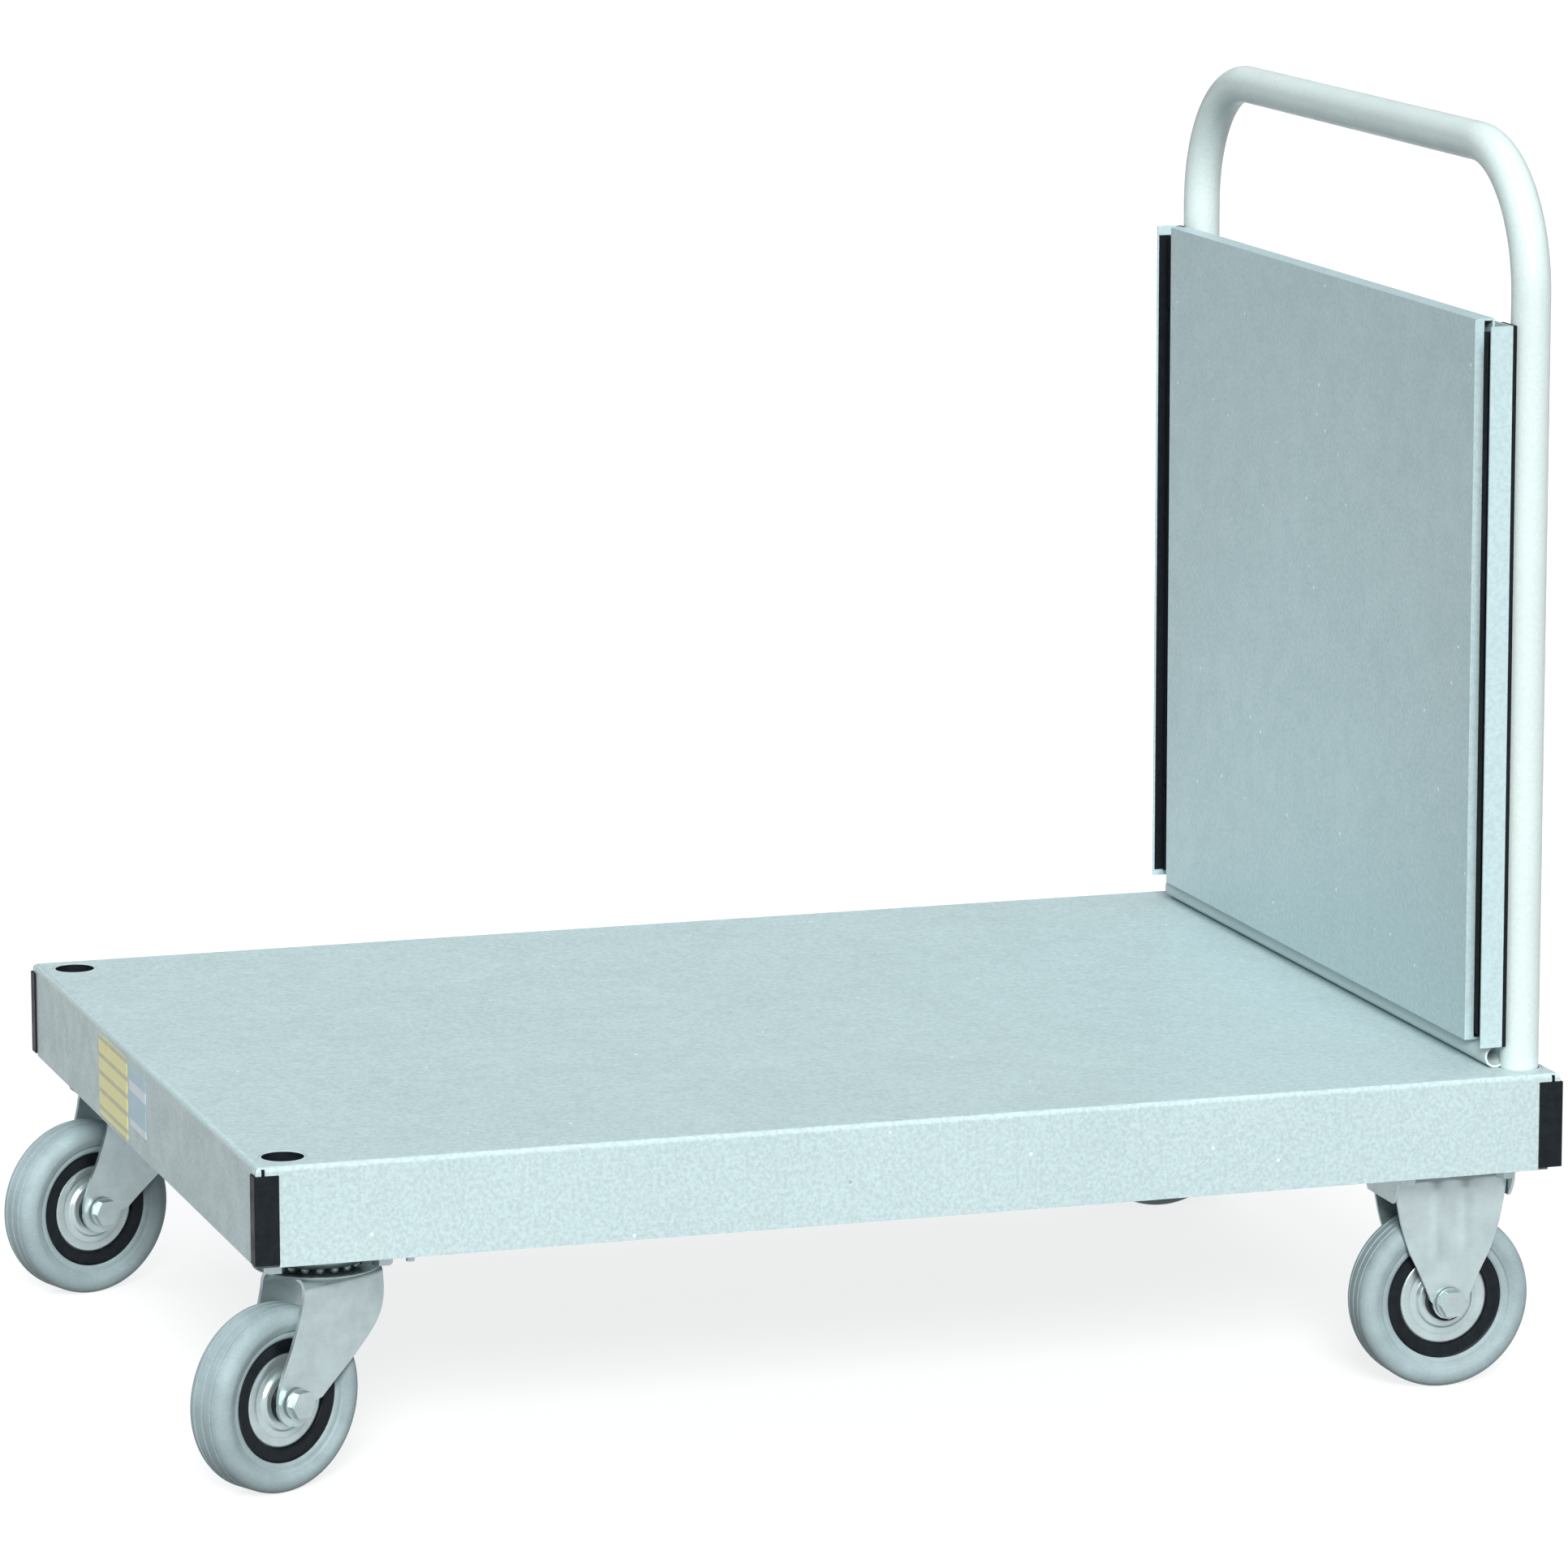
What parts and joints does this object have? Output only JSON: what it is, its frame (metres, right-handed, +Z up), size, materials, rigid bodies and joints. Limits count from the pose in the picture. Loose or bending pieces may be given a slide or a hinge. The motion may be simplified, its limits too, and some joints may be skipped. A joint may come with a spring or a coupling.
{
  "type": "flatbed platform truck",
  "caption": "Folded sheet-steel platform truck with two swivel and two fixed casters, corner sockets and a lift-out tube handle carrying a sheet panel.",
  "frame": {"origin": "on the floor under the middle of the outside box, casters at the rest headings", "axes": "+X along the deck towards the handle, +Y across it towards the handle's right-hand leg seen from the nose, +Z up from the floor"},
  "size_m": [0.9988, 0.713, 0.904],
  "materials": {
    "deck_paint": "satin powder coat, light blue-grey",
    "panel_paint": "satin powder coat, light blue-grey",
    "handle_paint": "satin powder coat, very light grey",
    "zinc_plate": "bright zinc plate",
    "black_plastic": "moulded, matt",
    "black_rubber": "matt",
    "tyre_rubber": "matt grey non-marking rubber",
    "rim_plastic": "moulded, matt",
    "label_yellow": "plain film sticker",
    "label_blue": "plain film sticker"
  },
  "bodies": {
    "truck": {"deck_tray": "deck_paint", "cross_member_nose": "deck_paint", "cross_member_rear": "deck_paint", "deck_stiffeners": "deck_paint", "socket_nose_left": "deck_paint", "socket_nose_right": "deck_paint", "socket_rear_left": "deck_paint", "socket_rear_right": "deck_paint", "cap_nose_left": "black_plastic", "cap_nose_right": "black_plastic", "cap_rear_left": "black_plastic", "cap_rear_right": "black_plastic", "label_large": "label_yellow", "label_small": "label_blue", "mounting_bolts": "zinc_plate", "mounting_nuts": "zinc_plate", "frame_screws": "zinc_plate", "bracket_rear_left": "zinc_plate", "bracket_rear_right": "zinc_plate", "axle_rear_left": "zinc_plate", "axle_rear_right": "zinc_plate", "axle_nuts_rear": "zinc_plate", "sleeves_rear": "zinc_plate", "head_plate_nose_left": "zinc_plate", "head_plate_nose_right": "zinc_plate", "kingpin_nose_left": "zinc_plate", "kingpin_nose_right": "zinc_plate", "balls_nose_left": "zinc_plate", "balls_nose_right": "zinc_plate"},
    "swivel_nose_left": {"fork_nose_left": "zinc_plate", "axle_nose_left": "zinc_plate", "axle_nut_nose_left": "zinc_plate", "sleeve_nose_left": "zinc_plate"},
    "swivel_nose_right": {"fork_nose_right": "zinc_plate", "axle_nose_right": "zinc_plate", "axle_nut_nose_right": "zinc_plate", "sleeve_nose_right": "zinc_plate"},
    "wheel_nose_left": {"tyre_nose_left": "tyre_rubber", "rim_nose_left": "rim_plastic", "guards_nose_left": "zinc_plate"},
    "wheel_nose_right": {"tyre_nose_right": "tyre_rubber", "rim_nose_right": "rim_plastic", "guards_nose_right": "zinc_plate"},
    "wheel_rear_left": {"tyre_rear_left": "tyre_rubber", "rim_rear_left": "rim_plastic", "guards_rear_left": "zinc_plate"},
    "wheel_rear_right": {"tyre_rear_right": "tyre_rubber", "rim_rear_right": "rim_plastic", "guards_rear_right": "zinc_plate"},
    "handle": {"handle_tube": "handle_paint", "crossbar": "handle_paint", "leg_plugs": "black_plastic", "backing_tray": "panel_paint", "front_panel": "panel_paint", "groove_liners": "black_rubber", "rubber_strips": "black_rubber", "panel_rivets": "zinc_plate", "panel_bolts": "zinc_plate", "panel_nuts": "zinc_plate"}
  },
  "joints": [
    {"name": "swivel_left", "type": "hinge", "parent": "truck", "child": "swivel_nose_left", "pos_m": [-0.39711, -0.29, 0.15], "axis": [0, 0, 1], "continuous": true},
    {"name": "swivel_right", "type": "hinge", "parent": "truck", "child": "swivel_nose_right", "pos_m": [-0.39711, 0.29, 0.15], "axis": [0, 0, 1], "continuous": true},
    {"name": "roll_nose_left", "type": "hinge", "parent": "swivel_nose_left", "child": "wheel_nose_left", "pos_m": [-0.43275, -0.30816, 0.065], "axis": [-0.454, 0.891, 0], "continuous": true},
    {"name": "roll_nose_right", "type": "hinge", "parent": "swivel_nose_right", "child": "wheel_nose_right", "pos_m": [-0.43469, 0.27632, 0.065], "axis": [-0.342, 0.9397, 0], "continuous": true},
    {"name": "roll_rear_left", "type": "hinge", "parent": "truck", "child": "wheel_rear_left", "pos_m": [0.43289, -0.29, 0.065], "axis": [0, 1, 0], "continuous": true},
    {"name": "roll_rear_right", "type": "hinge", "parent": "truck", "child": "wheel_rear_right", "pos_m": [0.43289, 0.29, 0.065], "axis": [0, 1, 0], "continuous": true},
    {"name": "handle_lift", "type": "slide", "parent": "truck", "child": "handle", "axis": [0, 0, 1], "range_m": [0, 0.07]}
  ]
}
